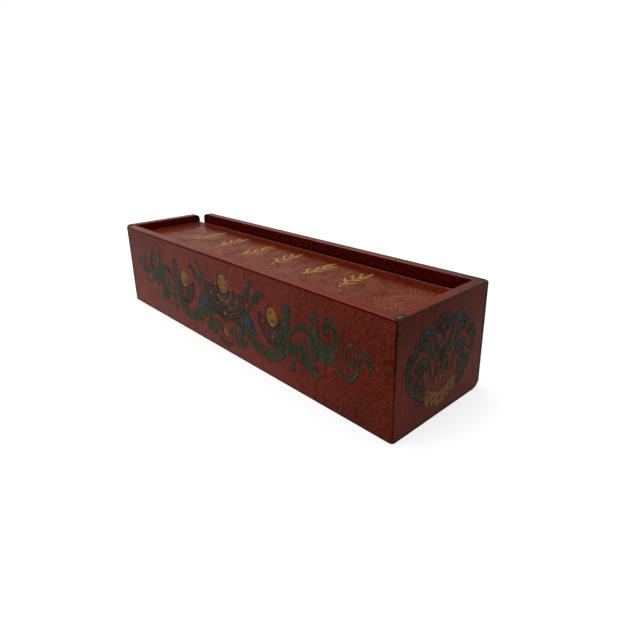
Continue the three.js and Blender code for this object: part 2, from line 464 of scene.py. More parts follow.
# Painted shade: the top left of the upright faces, where the sheen is weaker, is painted
# darker.
top_left_shade = times(between(x, -95, -140), between(z, 64, 76), upright)
patterned = layered(
    coats["Color"],
    (times(fretwork["Gilt"], upright, 0.36), (0.19, 0.055, 0.034)),
    (times(ramp(brushed, 0.4, 0.62), on_end, 0.55), (0.06, 0.006, 0.002)),
    (times(painted_sheen, upright, patches), (0.2, 0.058, 0.044)),
    (times(low_front_sheen, 0.2), (0.24, 0.059, 0.048)),
    # Painted shade: the long faces darken towards the closed end, away from the lamps.
    (times(between(x, 90, 150, 0.0, 0.2), on_side), (0.040, 0.011, 0.007)),
    (times(top_left_shade, 0.22), (0.03, 0.008, 0.006)),
    # Painted light: the end is painted lighter towards its top, as light from above.
    (times(on_end, between(z, 74, 46, 0.0, 0.32)), (0.26, 0.046, 0.021)),
)

# The rim's top is painted paler, a painted sheen of the bright room, with less of it towards
# the closed end, and it is darker towards its far corner. Inside it the red is deeper, painted
# lighter near the rim as painted light, and painted dark at the foot as the shade where the lid
# runs in its groove.
# Painted sheen: the rim's top faces are painted paler, less towards the closed end.
top_sheen_red = layered(
    patterned,
    (0.7, (0.195, 0.038, 0.0135)),
    (between(x, 60, 150, 0.0, 0.62), (0.142, 0.0105, 0.0015)),
)
# The rim's top turns darker towards the far corner of the closed end.
far_corner = vector("DISTANCE", place, case_high)
far_corner_dark = times(without(upright), between(far_corner, 50, 4, 0.0, 0.8))
outer_red = layered(top_sheen_red, (upright, patterned), (far_corner_dark, (0.038, 0.017, 0.010)))
# Painted light and shade inside: lighter near the rim, and dark at the foot as the shade where
# the lid runs.
inner_red = layered(
    (0.052, 0.0010, 0.0006),
    (between(z, 78.5, 81.6), (0.062, 0.0020, 0.0012)),
    (between(z, 73.7, 72.6), (0.012, 0.001, 0.001)),
)

# Edges are rubbed through to the black ground, most at the open end and the corners. Along the
# foot, the dark line is both wear and painted shadow where the box stands. The front rim's edge
# is painted instead: deep red below as painted shade, and pale above as a painted highlight.
low_down = calc("LESS_THAN", z, 4 * MM)
behind = calc("GREATER_THAN", y, 0.0)
to_near_corner = calc("SUBTRACT", x, y)
end_width = between(x, -100, 0, 3.4 * MM, 1.4 * MM)
wear = use(
    worn_edges,
    Vector=place,
    Low=case_low,
    High=case_high,
    Upright=between(to_near_corner, 130, 225, 4.4 * MM, 1.2 * MM),
    Ends=calc("MULTIPLY_ADD", low_down, 0.6 * MM, end_width),
    Sides=ramp(behind, 0.0, 1.0, 1.3 * MM, 3.6 * MM),
)
depth = blend(upright, wear["Depth"], wear["Inwards"], "FLOAT")
outside = calc("LESS_THAN", depth, 1.2 * MM)
side_rub_and_shadow = times(calc("MAXIMUM", behind, low_down), wear["Sides"], outside)
near_face = calc("LESS_THAN", y, case_low.y + 2 * MM)
on_front = times(near_face, calc("GREATER_THAN", z, 79 * MM))
# Painted highlight: the upper side of the front rim's rounding is painted pale red, more
# towards the closed end.
rim_highlight = blend(between(x, -150, 60, 0.1, 0.8), top_sheen_red, (0.255, 0.024, 0.012))
front_rim = blend(calc("GREATER_THAN", normal_z, 0.5), outer_red, rim_highlight)
# Painted shade: the lower side of the front rim's rounding is painted deep red.
arris_foot = between(x, -60, 130, 79.6 * MM, 80.45 * MM)
arris = calc("DIVIDE", calc("SUBTRACT", z, arris_foot), 0.35 * MM, clamp=True)
arris = times(arris, on_front, calc("LESS_THAN", normal_z, 0.97))
arris_end_shade_red = (0.072, 0.0001, 0.0001)
arris_shade_red = blend(between(x, 40, 130), (0.054, 0.0001, 0.0001), arris_end_shade_red)
end_rub_and_shadow = times(wear["Ends"], outside, between(z, 60, 50, 0.75, 1.0))
worn_low = times(between(z, 60, 10), between(to_near_corner, 200, 210))
corner_rub = times(wear["Upright"], outside, ramp(worn_low, 0.0, 1.0, 1.0, 0.8))
ragged = noise(place, 420, 4, 0.7)
from_open_end = calc("MULTIPLY_ADD", ragged, 1.6 * MM, calc("SUBTRACT", x, case_low.x))
from_open_end = calc("MULTIPLY_ADD", behind, -2.6 * MM, from_open_end)
above_low_wall = calc("GREATER_THAN", z, low_wall_top - 1.5 * MM)
bare_tip = calc("MAXIMUM", calc("GREATER_THAN", normal_x, -0.7), above_low_wall)
rubbed = layered(
    inner_red,
    (outside, outer_red),
    # Along the foot this dark edge is wear and painted shadow where the box stands.
    (side_rub_and_shadow, blend(low_down, edge_black, wear_and_shadow_brown)),
    (on_front, front_rim),
    (arris, arris_shade_red),
    (end_rub_and_shadow, blend(between(x, 100, 120), edge_black, wear_and_shadow_brown)),
    (corner_rub, blend(worn_low, edge_black, (0.046, 0.019, 0.005))),
    (times(between(from_open_end, 3.9, 3.3), bare_tip), edge_black),
)

# A chip at the near rim corner shows the pale grey-green ground under the lacquer.
chip_middle = (case_high.x - 2.8 * MM, case_low.y + 5.8 * MM, case_high.z)
from_chip = stretched(vector("SUBTRACT", place, chip_middle), 330, 175, 700)
from_chip = calc("MULTIPLY_ADD", ragged, 1.6, vector("LENGTH", from_chip))
chip = ramp(from_chip, 1.85, 1.7)
bare_ground = blend(ramp(from_chip, 1.3, 1.05), (0.034, 0.026, 0.013), (0.125, 0.105, 0.067))
grooved = calc("ADD", coats["Height"], times(fretwork["Cut"], upright, -0.15))
finished(
    shader,
    filmed(blend(chip, rubbed, bare_ground), coats),
    calc("MAXIMUM", coats["Roughness"], times(chip, 0.7)),
    calc("MULTIPLY_ADD", chip, -2.0, grooved),
    0.1 * MM,
)


def corner_wear(side, level, *reaches):
    """Planes that wear a corner of the closed end round, by how far each reaches along, in
    and up or down. The side is -1 or 1, and the level -1 for the foot or 1 for the rim."""
    height = case_low.z if level < 0 else case_high.z
    corner = Vector((case_high.x, side * case_high.y, height))
    planes = []
    for along, inwards, upright in reaches:
        outward = Vector((1 / along, side / inwards, level / upright)).normalized()
        planes.append((corner - Vector((along * MM, 0, 0)), outward))
    return planes


far_corners = corner_wear(1, -1, (7.0, 5.0, 5.5), (5.0, 2.2, 9.0), (4.5, 8.0, 2.4))
far_corners += corner_wear(1, 1, (1.8, 1.8, 2.2), (1.0, 1.0, 4.0), (2.8, 2.8, 1.1))
near_foot = corner_wear(-1, -1, (1.8, 1.8, 1.1), (3.2, 3.2, 0.5), (0.9, 0.9, 2.6))
near_tip, far_tip = (case_low.x, case_low.y, case_high.z), (case_low.x, *case_high.yz)
tip_front = rounding(near_tip, (-1, 0, 0), (0, 0, 1), 3.0 * MM)
tip_back = rounding(far_tip, (-1, 0, 0), (0, 0, 1), 5.5 * MM)
for node, name, planes in (
    ("front_wall", "front_board", near_foot + tip_front),
    ("back_wall", "back_board", far_corners + tip_back),
    ("closed_end_wall", "closed_end_board", far_corners + near_foot),
    ("low_end_wall", "low_end_board", []),
):
    lacquered(node, name, wall_finish, "case", wall_easing, wall_edge_shows, planes, cut_back)


# The base board is let into the walls from below, in thin dark lacquer through which the
# wood's grain still shows. Square bamboo pegs hold it, their ends trimmed flush.
base_finish, shader, place = new_finish("base_lacquer", 0.15)
base_low, base_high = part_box("base_board")
widths = {"Upright": 1.5 * MM, "Ends": 1.5 * MM, "Sides": 1.5 * MM}
wear = use(worn_edges, Vector=place, Low=base_low, High=base_high, **widths)
base_light, base_dark = (0.045, 0.008, 0.006), (0.018, 0.005, 0.004)
coats = use(old_lacquer, Vector=place, Light=base_light, Dark=base_dark, Polish=0.42)
grain = noise(stretched(place, 0.05, 1, 1), 500, 4, 0.65)
any_edge = calc("MAXIMUM", calc("MAXIMUM", wear["Upright"], wear["Ends"]), wear["Sides"])
grained = layered(
    coats["Color"],
    (ramp(grain, 0.35, 0.7, 0.0, 0.45), (0.008, 0.004, 0.003)),
    (any_edge, (0.03, 0.015, 0.01)),
)
finished(shader, grained, coats["Roughness"], calc("ADD", coats["Height"], grain), 0.15 * MM)
paint(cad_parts["base_board"], base_finish)

bamboo_finish, shader, place = new_finish("split_bamboo", 0.3)
fibre = noise(stretched(place, 1, 1, 0.03), 2600, 3)
bamboo = blend(fibre, (0.16, 0.09, 0.03), (0.42, 0.28, 0.12))
finished(shader, bamboo, calc("MULTIPLY_ADD", fibre, 0.3, 0.45), fibre, 0.05 * MM)
for name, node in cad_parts.items():
    if "_peg_" in name:
        paint(node, bamboo_finish)


# The lid is one board in the same red, its field cut all over with a fine gilt diaper. The
# rail that it is drawn by stands on its outer end, rounded and polished by fingers.
def any_edge_shows(middle, normals):
    return True


lid_low, lid_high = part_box("lid_board")
lid_finish, shader, place = new_finish("lid_lacquer", 0.008)
lid_light, lid_dark = (0.115, 0.0105, 0.0040), (0.080, 0.0065, 0.0025)
coats = use(old_lacquer, Vector=place, Light=lid_light, Dark=lid_dark, Polish=0.3)
fretwork = use(diaper, Vector=place, Pitch=1.7 * MM)
x, y, z = split(place)
top = calc("GREATER_THAN", z, lid_high.z - 0.3 * MM)
from_middle = calc("ABSOLUTE", y)
by_walls = between(from_middle, 22.5, 27.5)
by_rail = ramp(x, lid_low.x + 48 * MM, lid_low.x + 39 * MM)
# Painted reflection and shade: by the walls and the rail the lid is painted a deeper red with
# less gilt, for the dark walls it mirrors.
dark_reflection = calc("MAXIMUM", by_walls, by_rail)
rubbed_field = between(x, 60, 130, 0.52, 0.40)
gilt_share = calc("MULTIPLY_ADD", dark_reflection, calc("SUBTRACT", 0.08, rubbed_field), rubbed_field)
gilt = times(fretwork["Gilt"], top, gilt_share)
# Painted light: right by the walls the deep red is painted lighter again.
towards_wall = between(from_middle, 36.5, 40.5)
wall_reflection_red = blend(towards_wall, (0.080, 0.0046, 0.0014), (0.210, 0.032, 0.013))
lid_red = layered(
    coats["Color"],
    (times(dark_reflection, 0.8), wall_reflection_red),
    (gilt, (0.55, 0.165, 0.050)),
    # A pale line painted by the walls: a painted highlight on the lid's worn edge.
    (between(from_middle, 40.3, 40.9), (0.42, 0.150, 0.100)),
)
put(shader.inputs["Metallic"], gilt)
grooved = calc("ADD", coats["Height"], times(fretwork["Cut"], top, -0.25))
finished(shader, filmed(lid_red, coats), coats["Roughness"], grooved, 0.1 * MM, 0.4)
lacquered("lid_board", "lid_panel", lid_finish, "lid", 0.3 * MM, any_edge_shows)

rail_finish, shader, place = new_finish("rail_lacquer", 0.025)
rail_low, rail_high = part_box("lid_rail")
widths = {"Upright": 8.0 * MM, "Ends": 0.5 * MM, "Sides": 8.0 * MM}
wear = use(worn_edges, Vector=place, Low=rail_low, High=rail_high, **widths)
rail_light, rail_dark = (0.125, 0.012, 0.007), (0.080, 0.0065, 0.0040)
coats = use(old_lacquer, Vector=place, Light=rail_light, Dark=rail_dark, Polish=0.3)
z = split(place)["Z"]
# The rail is painted black at its foot, as the shade where it stands on the lid. Its ends and
# edges are rubbed dark.
fingered_and_shaded = layered(
    (0.122, 0.0026, 0.0014),
    (between(z, 77, 81), coats["Color"]),
    (between(z, 74.0, 72.5), (0.006, 0.001, 0.001)),
    (times(wear["Ends"], 0.6), (0.03, 0.006, 0.004)),
    (calc("MAXIMUM", wear["Upright"], wear["Sides"]), edge_black),
)
finished(shader, filmed(fingered_and_shaded, coats), coats["Roughness"], coats["Height"], 0.1 * MM)
rail_ends = []
for side in (-1, 1):
    corner = (rail_high.x, side * rail_high.y, rail_high.z)
    rail_ends += rounding(corner, (0, side, 0), (0, 0, 1), 4.2 * MM)
lacquered("lid_rail", "pull_rail", rail_finish, "lid", 0.25 * MM, any_edge_shows, rail_ends)


# The front's scroll is filled-in lacquer. Its shapes are cut out of the red ground, filled
# with green, blue and purple-brown lacquer, rubbed level and edged with scored dark lines.
# A stroke is (along, up, width) in mm, and the left half mirrors the right.
scroll_middle = 1.0
green_strokes = {
    "stem": [
        (9.5, 35.5, 4.2), (19.5, 33.2, 7.0), (30.8, 28.9, 8.2), (40.1, 23.2, 9.2),
        (49.5, 18.5, 10.0), (58.2, 17.5, 9.8), (67.0, 19.8, 10.0), (73.5, 25.1, 10.8),
        (78.0, 32.0, 11.8), (80.2, 38.9, 12.5), (80.8, 44.5, 11.5), (80.5, 48.5, 7.5),
    ],
    "stem left tip": [
        (80.0, 38.9, 5.5), (76.8, 45.5, 4.8), (75.2, 49.8, 2.8), (74.2, 52.8, 0.6),
    ],
    "stem right tip": [(82.0, 43.2, 7.5), (85.8, 44.8, 3.8), (88.5, 46.5, 0.6)],
    "club neck": [(81.0, 45.8, 5.0), (82.0, 51.0, 4.0), (82.5, 54.5, 3.8), (82.5, 58.0, 4.5)],
    "limb": [
        (87.2, 44.5, 1.2), (90.5, 48.0, 2.0), (94.5, 51.2, 3.5), (99.8, 53.2, 5.2),
        (105.8, 52.0, 6.5), (112.0, 48.9, 7.5), (118.2, 45.0, 8.2), (124.5, 43.7, 8.4),
        (129.0, 46.2, 6.8),
    ],
    "hook": [
        (128.2, 44.6, 6.0), (130.4, 48.2, 6.0), (132.0, 53.0, 4.6), (131.5, 59.2, 3.8),
        (128.8, 64.2, 4.0), (126.0, 65.7, 4.0),
    ],
    "hook tip": [
        (127.0, 65.4, 4.0), (124.6, 64.9, 4.0), (123.2, 62.4, 3.7), (122.8, 59.0, 3.5),
        (123.5, 56.8, 2.5),
    ],
    "first tooth": [
        (106.4, 49.2, 6.2), (108.9, 43.2, 6.8), (111.8, 38.2, 5.0), (114.2, 33.2, 0.6),
    ],
    "second tooth": [
        (119.2, 42.5, 9.0), (120.4, 38.0, 9.2), (121.2, 34.2, 5.2), (121.5, 30.0, 0.8),
    ],
    "third tooth": [
        (119.0, 42.0, 9.0), (123.5, 41.0, 11.5), (127.2, 40.8, 11.0), (130.4, 44.0, 7.0),
    ],
    "tail": [
        (128.9, 41.0, 3.4), (130.3, 36.2, 2.3), (134.2, 32.5, 1.9), (138.9, 30.3, 2.2),
        (143.6, 30.0, 2.8), (147.7, 32.2, 3.0), (150.4, 36.8, 2.5), (151.5, 42.8, 2.1),
        (150.6, 49.0, 1.9), (148.0, 53.4, 1.8), (144.8, 55.2, 1.7), (141.8, 53.4, 1.7),
        (140.1, 48.9, 1.7), (140.0, 43.9, 1.8), (141.8, 40.2, 2.1), (144.5, 39.2, 2.8),
        (146.6, 42.2, 2.4), (146.2, 45.5, 1.8), (145.1, 46.8, 1.1),
    ],
    "tail branch": [
        (151.4, 43.4, 1.0), (152.9, 48.6, 1.6), (155.9, 51.6, 2.1), (159.2, 51.4, 2.6),
        (161.2, 48.2, 3.1), (160.6, 45.2, 3.3), (159.8, 43.6, 1.4),
    ],
    "knob neck": [
        (113.2, 52.5, 6.2), (112.8, 56.8, 4.0), (112.1, 60.5, 3.8), (111.9, 63.0, 3.8),
    ],
    "comma": [
        (106.8, 47.6, 4.2), (108.8, 41.8, 4.5), (109.8, 35.8, 4.0), (109.2, 30.1, 3.5),
        (107.0, 26.0, 4.0), (103.0, 24.0, 4.8),
    ],
    "comma head": [
        (99.9, 41.2, 3.5), (99.5, 38.2, 7.5), (100.1, 33.2, 8.2), (101.4, 28.2, 7.5),
        (103.5, 24.2, 4.2),
    ],
    "first drop": [
        (109.8, 32.6, 2.5), (110.8, 28.0, 2.1), (111.5, 24.8, 3.0), (112.0, 22.0, 3.4),
    ],
    "second drop": [(90.5, 30.5, 2.5), (89.8, 26.0, 2.1), (88.8, 22.5, 2.6), (88.0, 18.9, 3.0)],
    "first leaf": [(82.0, 38.0, 2.5), (84.8, 35.8, 5.2), (87.2, 33.0, 3.8)],
    "second leaf": [(87.0, 32.6, 5.0), (90.0, 33.8, 5.5), (92.8, 34.8, 1.2)],
    "third leaf": [(85.2, 33.2, 5.0), (84.5, 29.8, 5.5), (82.2, 27.0, 1.0)],
    "fourth leaf": [(88.0, 33.0, 5.0), (90.2, 29.8, 5.2), (92.5, 27.5, 1.0)],
    "sprig stalk": [
        (33.5, 44.5, 3.2), (37.0, 49.2, 3.0), (40.0, 53.2, 2.4), (41.8, 57.0, 1.6),
        (42.8, 59.8, 1.0),
    ],
    "sprig leaf": [
        (35.2, 53.8, 0.8), (34.8, 57.5, 3.5), (34.9, 60.6, 5.8), (36.5, 63.5, 4.6),
        (38.2, 66.8, 2.8), (39.2, 69.8, 2.5), (41.0, 72.8, 1.8),
    ],
    "sprig right leaf": [
        (41.2, 57.2, 1.6), (44.0, 56.8, 4.5), (46.2, 58.6, 6.6), (47.8, 62.0, 4.5),
        (51.2, 64.2, 3.2), (54.6, 64.4, 2.4),
    ],
    "cloud hook": [
        (25.8, 27.5, 3.8), (24.8, 22.2, 3.2), (23.6, 18.0, 3.4), (25.5, 14.5, 4.2),
        (28.5, 15.2, 4.8), (30.0, 18.5, 2.8),
    ],
    "cloud curl": [
        (23.8, 18.5, 2.4), (22.0, 13.8, 3.8), (18.5, 13.5, 3.8), (16.0, 16.5, 3.5),
        (16.5, 20.8, 3.3), (19.0, 23.0, 2.9), (21.2, 21.2, 2.2),
    ],
    "small curl": [
        (16.8, 19.5, 2.2), (14.2, 23.8, 3.3), (10.8, 23.2, 3.3), (9.0, 20.0, 2.9),
        (10.8, 17.5, 2.2),
    ],
}
green_knobs = [
    (82.5, 59.6, 4.7, 5.9), (111.9, 63.8, 3.0, 3.2), (112.1, 21.6, 3.7, 4.0),
    (87.9, 18.2, 3.2, 3.7), (123.2, 57.8, 2.4, 2.7), (160.7, 45.6, 2.2, 2.5),
    (28.6, 15.8, 2.3, 2.5), (34.6, 60.8, 3.5, 3.6), (87.6, 33.0, 2.6, 2.6),
]
blue_strokes = {
    "wing scale 1": [
        (26.8, 38.9, 3.0), (28.8, 41.8, 5.5), (31.8, 44.0, 3.8), (34.2, 44.5, 0.6),
    ],
    "wing scale 2": [
        (29.2, 35.5, 3.8), (32.5, 38.8, 6.5), (35.8, 40.8, 3.8), (37.8, 40.8, 0.6),
    ],
    "wing scale 3": [
        (33.0, 32.0, 3.8), (36.2, 35.0, 6.2), (39.2, 37.2, 3.8), (41.2, 36.8, 0.6),
    ],
    "wing scale 4": [
        (37.6, 29.5, 3.0), (40.5, 32.0, 5.5), (43.2, 32.2, 4.2), (44.8, 28.5, 0.8),
    ],
}
petal_strokes = {
    "lotus shoulder": [(9.5, 49.2, 5.5), (13.2, 53.8, 5.8), (16.0, 58.2, 1.0)],
    "lotus upper petal": [
        (2.0, 40.8, 8.8), (12.0, 45.5, 12.5), (21.4, 51.5, 10.5), (27.2, 55.2, 5.0),
        (30.5, 57.2, 0.5),
    ],
    "lotus side petal": [
        (1.4, 36.0, 7.5), (10.8, 38.2, 11.2), (19.5, 41.8, 10.8), (26.8, 47.0, 7.5),
        (31.0, 53.0, 0.8),
    ],
    "lotus lower petal": [
        (1.8, 33.9, 6.2), (9.5, 35.0, 8.0), (17.0, 38.0, 7.5), (24.5, 40.5, 1.8),
    ],
    "flower outer petal": [
        (65.1, 31.8, 7.0), (57.2, 35.5, 7.8), (51.5, 41.8, 5.8), (49.1, 50.8, 0.5),
    ],
    "flower inner petal": [
        (68.2, 29.8, 4.5), (62.2, 32.5, 8.8), (57.2, 39.2, 7.8), (54.5, 48.2, 0.8),
    ],
    "flower cup": [(64.5, 27.2, 2.5), (66.5, 31.8, 9.0), (67.2, 38.0, 10.8), (66.5, 43.8, 8.0)],
    "flower near petal": [
        (70.0, 29.0, 3.5), (72.2, 34.2, 7.2), (73.8, 40.8, 6.0), (74.0, 48.5, 0.5),
    ],
}
flower_ground = [
    (49.0, 50.8), (52.5, 48.6), (55.5, 44.5), (59.5, 42.6), (64.0, 41.6), (69.0, 42.2),
    (73.5, 45.5), (74.8, 50.0), (76.5, 44.0), (75.5, 35.0), (70.0, 28.0), (62.0, 28.6),
    (55.0, 33.0), (50.6, 38.5), (48.4, 45.0),
]
lotus_ground = [
    (9.5, 56.0), (13.5, 55.8), (16.8, 58.6), (18.5, 54.0), (24.0, 56.0), (30.2, 57.3),
    (29.6, 51.5), (30.6, 46.5), (27.0, 43.5), (25.5, 40.0), (20.0, 36.5), (14.5, 34.0),
    (9.0, 32.3), (5.0, 28.5), (1.0, 26.3),
]
wing_ground = [
    (25.8, 38.4), (26.6, 42.4), (29.5, 44.7), (34.0, 45.0), (38.6, 41.6), (42.2, 36.8),
    (45.8, 28.6), (41.5, 28.4), (36.0, 29.8), (30.5, 33.5),
]
middle_petals = {
    "lotus cup": [
        (1.0, 50.8, 18.8), (1.0, 40.8, 20.0), (1.0, 34.5, 14.0), (1.0, 30.1, 8.8),
        (1.0, 26.8, 1.0),
    ],
    "cloud crescent": [
        (-8.8, 12.6, 0.8), (-6.5, 8.8, 2.2), (1.0, 6.6, 3.0), (8.5, 8.8, 2.2),
        (10.8, 12.6, 0.8),
    ],
}


def smooth(points, steps, closed=False):
    """A smooth line through a few points of any number of values."""
    count = len(points)
    line = []
    for i in range(count if closed else count - 1):
        near = [i + k for k in (-1, 0, 1, 2)]
        at = [points[n % count] if closed else points[min(max(n, 0), count - 1)] for n in near]
        for step in range(steps):
            t = step / steps
            place = []
            for a, b, c, d in zip(*at):
                bend = 2 * a - 5 * b + 4 * c - d + t * (3 * (b - c) + d - a)
                place.append(b + 0.5 * t * (c - a + t * bend))
            line.append(tuple(place))
    return line if closed else line + [tuple(points[-1])]


def heading(line, i):
    """The direction of a line at one of its points."""
    ahead, behind = line[min(i + 1, len(line) - 1)], line[max(i - 1, 0)]
    return Vector((ahead[0] - behind[0], ahead[1] - behind[1])).normalized()


def stroke_outline(stroke):
    """The outline of a stroke of changing width, with round ends."""
    line = smooth(stroke, 6)

    def clear(points, reach=0.48):
        """The points outside the stroke's own body, so that a tight bend leaves no loop."""
        return [
            (x, y)
            for x, y in points
            if all(math.hypot(x - u, y - v) > reach * width for u, v, width in line)
        ]

    def round_end(i, back):
        """A rounded end of the stroke, at its start with -1 and at its end with 1."""
        x, y, width = line[i]
        u, v = heading(line, i) * width / 2
        turns = [math.radians(angle) for angle in (60, 30, 0, -30, -60)]
        return [
            (
                x + back * u * math.cos(t) - v * math.sin(t),
                y + back * v * math.cos(t) + u * math.sin(t),
            )
            for t in turns
        ]

    left, right = [], []
    for i, (x, y, width) in enumerate(line):
        u, v = heading(line, i) * width / 2
        left.append((x - v, y + u))
        right.append((x + v, y - u))
    start_cap, end_cap = round_end(0, -1)[::-1], round_end(len(line) - 1, 1)
    return start_cap + clear(left) + end_cap + clear(right)[::-1]


def ellipse(x, y, across, up, count=28):
    turns = [2 * math.pi * i / count for i in range(count)]
    return [(x + across * math.cos(t), y + up * math.sin(t)) for t in turns]


def mirrored(shapes, middle=scroll_middle):
    return [[(2 * middle - point[0], *point[1:]) for point in shape] for shape in shapes]


def joined(name, parts):
    """Curves are turned into meshes and joined into one clean piece, its faces outwards."""
    bpy.ops.object.select_all(action="DESELECT")
    for part in parts:
        part.select_set(True)
    bpy.context.view_layer.objects.active = parts[0]
    bpy.ops.object.convert(target="MESH")
    bpy.ops.object.join()
    piece = bpy.context.object
    piece.name = name
    bpy.ops.object.transform_apply(location=True, rotation=True, scale=True)
    only_this(piece)
    bpy.ops.object.mode_set(mode="EDIT")
    bpy.ops.mesh.select_all(action="SELECT")
    bpy.ops.mesh.remove_doubles(threshold=0.0005 * MM)
    bpy.ops.mesh.normals_make_consistent(inside=False)
    bpy.ops.object.mode_set(mode="OBJECT")
    return piece


def flat_curve(outline, closed=True, **settings):
    """A line through points in mm, as a curve object."""
    curve = bpy.data.curves.new("line", "CURVE")
    for key, value in settings.items():
        setattr(curve, key, value)
    spline = curve.splines.new("POLY")
    spline.points.add(len(outline) - 1)
    for point, (x, y) in zip(spline.points, outline):
        point.co = (x * MM, y * MM, 0, 1)
    spline.use_cyclic_u = closed
    thing = bpy.data.objects.new("line", curve)
    bpy.context.scene.collection.objects.link(thing)
    return thing


# Each drawing has a level in mm over the rubbed skin. All stay under 0.1, and so within the
# boards' own box, except the sprays painted on the lid.
fill_depth = 0.12
level_step = 0.0004
line_proud = 0.02


def fill(name, outlines, level):
    """Flat inlays of an even depth. Each lies a hair above the last, in mm over the skin."""
    parts = []
    for i, outline in enumerate(outlines):
        depth = fill_depth / 2 * MM
        part = flat_curve(outline, dimensions="2D", fill_mode="BOTH", extrude=depth)
        part.location.z = (level + i * level_step - fill_depth / 2) * MM
        parts.append(part)
    return joined(name, parts)


def scored(name, lines, level, width):
    """Fine lines. Each is an outline, or a line left open, with whether it closes."""
    parts = []
    bar = {"dimensions": "3D", "bevel_resolution": 0, "use_fill_caps": True}
    for outline, closed in lines:
        part = flat_curve(outline, closed, bevel_depth=width / 2 * MM, **bar)
        part.scale.z = 2 * line_proud / width
        part.location.z = (level - line_proud / 2) * MM
        parts.append(part)
    return joined(name, parts)


def against(piece, face, surface, finish, body="case"):
    """Stands a flat drawing on a face of the box, at the face's distance from the middle."""
    turn, outward = {
        "front": ((math.pi / 2, 0, 0), (0, -1, 0)),
        "back": ((math.pi / 2, 0, math.pi), (0, 1, 0)),
        "end": ((math.pi / 2, 0, math.pi / 2), (1, 0, 0)),
        "lid": ((0, 0, 0), (0, 0, 1)),
    }[face]
    only_this(piece)
    piece.rotation_euler = turn
    piece.location = Vector(outward) * surface
    bpy.ops.object.transform_apply(location=True, rotation=True, scale=True)
    paint(piece, finish)
    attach(piece, body)


def inlaid(face, surface, *layers):
    """Lays drawings on a face. Each has a name, shapes, its level, the width of its line or 0
    if it is filled, a finish and a slot. The slot is not used."""
    for name, shapes, level, width, finish, slot in layers:
        name = face + "_" + name
        drawing = scored(name, shapes, level, width) if width else fill(name, shapes, level)
        against(drawing, face, surface, finish)


ground_red = (0.085, 0.010, 0.004)


def filled_lacquer(name, light, dark, second, wear):
    """Filled-in lacquer: finely streaked, clouded with a second colour, and worn through to
    the ground in specks."""
    finish, shader, place = new_finish(name, 0.03)
    coats = use(old_lacquer, Vector=place, Light=light, Dark=dark, Polish=0.4)
    flow = add(
        finish.node_tree,
        "TexWave",
        {"wave_type": "BANDS", "bands_direction": "DIAGONAL"},
        Vector=place,
        Scale=190,
        Distortion=9,
        Detail=2,
        Detail_Scale=3,
    ).outputs["Fac"]
    worn = ramp(noise(place, 520, 5, 0.75), 0.66 - wear, 0.72 - wear)
    clouded = layered(
        coats["Color"],
        (times(flow, 0.5), dark),
        (ramp(noise(place, 85, 3), 0.48, 0.6, 0.0, 0.7), second),
        (worn, ground_red),
    )
    height = calc("MULTIPLY_ADD", worn, -1.0, coats["Height"])
    finished(shader, filmed(clouded, coats), coats["Roughness"], height, 0.05 * MM)
    return finish


green_finish = filled_lacquer(
    "green_lacquer", (0.050, 0.055, 0.027), (0.017, 0.024, 0.012), (0.078, 0.040, 0.022), 0.0
)
teal_finish = filled_lacquer(
    "teal_lacquer", (0.037, 0.048, 0.031), (0.014, 0.021, 0.016), (0.034, 0.024, 0.018), 0.0
)
purple_finish = filled_lacquer(
    "purple_lacquer", (0.120, 0.043, 0.037), (0.044, 0.019, 0.020), (0.044, 0.030, 0.024), 0.05
)
shade_finish = filled_lacquer(
    "shade_lacquer", (0.030, 0.014, 0.013), (0.016, 0.008, 0.008), (0.014, 0.010, 0.008), -0.04
)
blue_finish = filled_lacquer(
    "blue_lacquer", (0.038, 0.070, 0.095), (0.018, 0.026, 0.038), (0.070, 0.036, 0.040), 0.02
)


def gold_lacquer(name, low, high, wear):
    """Gold powder in lacquer, tarnished in clouds and rubbed through to the red in specks."""
    finish, shader, place = new_finish(name, 0.03)
    put(shader.inputs["Metallic"], 0.3)
    tarnish = noise(place, 260, 5, 0.7)
    gold = blend(ramp(tarnish, 0.35, 0.62), low, high)
    worn = ramp(noise(place, 340, 4, 0.7), 0.7 - wear, 0.76 - wear)
    roughness = ramp(tarnish, 0.3, 0.7, 0.5, 0.35)
    finished(shader, blend(worn, gold, ground_red), roughness, tarnish, 0.05 * MM)
    return finish


gold_finish = gold_lacquer("gold_lacquer", (0.096, 0.042, 0.004), (0.230, 0.108, 0.019), 0.02)


def line_lacquer(name, low, high, start, stop):
    """Scored lines, filled with one colour and rubbed to another in patches."""
    finish, shader, place = new_finish(name, 0.03)
    rubbed_off = noise(place, 150, 6, 0.8)
    colour = blend(ramp(rubbed_off, start, stop), low, high)
    roughness = ramp(rubbed_off, 0.3, 0.7, 0.6, 0.4)
    finished(shader, colour, roughness, rubbed_off, 0.03 * MM)
    return finish


gilt_line = line_lacquer("gilt_line", (0.016, 0.013, 0.007), (0.30, 0.165, 0.045), 0.50, 0.62)
dark_line = line_lacquer("dark_line", (0.011, 0.009, 0.008), (0.040, 0.016, 0.010), 0.45, 0.6)
ochre_line = line_lacquer("ochre_line", (0.034, 0.013, 0.002), (0.085, 0.034, 0.006), 0.4, 0.6)
pale_line = line_lacquer(
    "pale_green_line", (0.020, 0.026, 0.013), (0.070, 0.085, 0.042), 0.38, 0.6
)


def chosen(strokes, *names):
    return [strokes[name] for name in names]


def both_halves(strokes, middle=scroll_middle):
    right = [stroke_outline(stroke) for stroke in strokes]
    return right + mirrored(right, middle)


def rings(outlines):
    """Outlines as scored lines that close."""
    return [(outline, True) for outline in outlines]


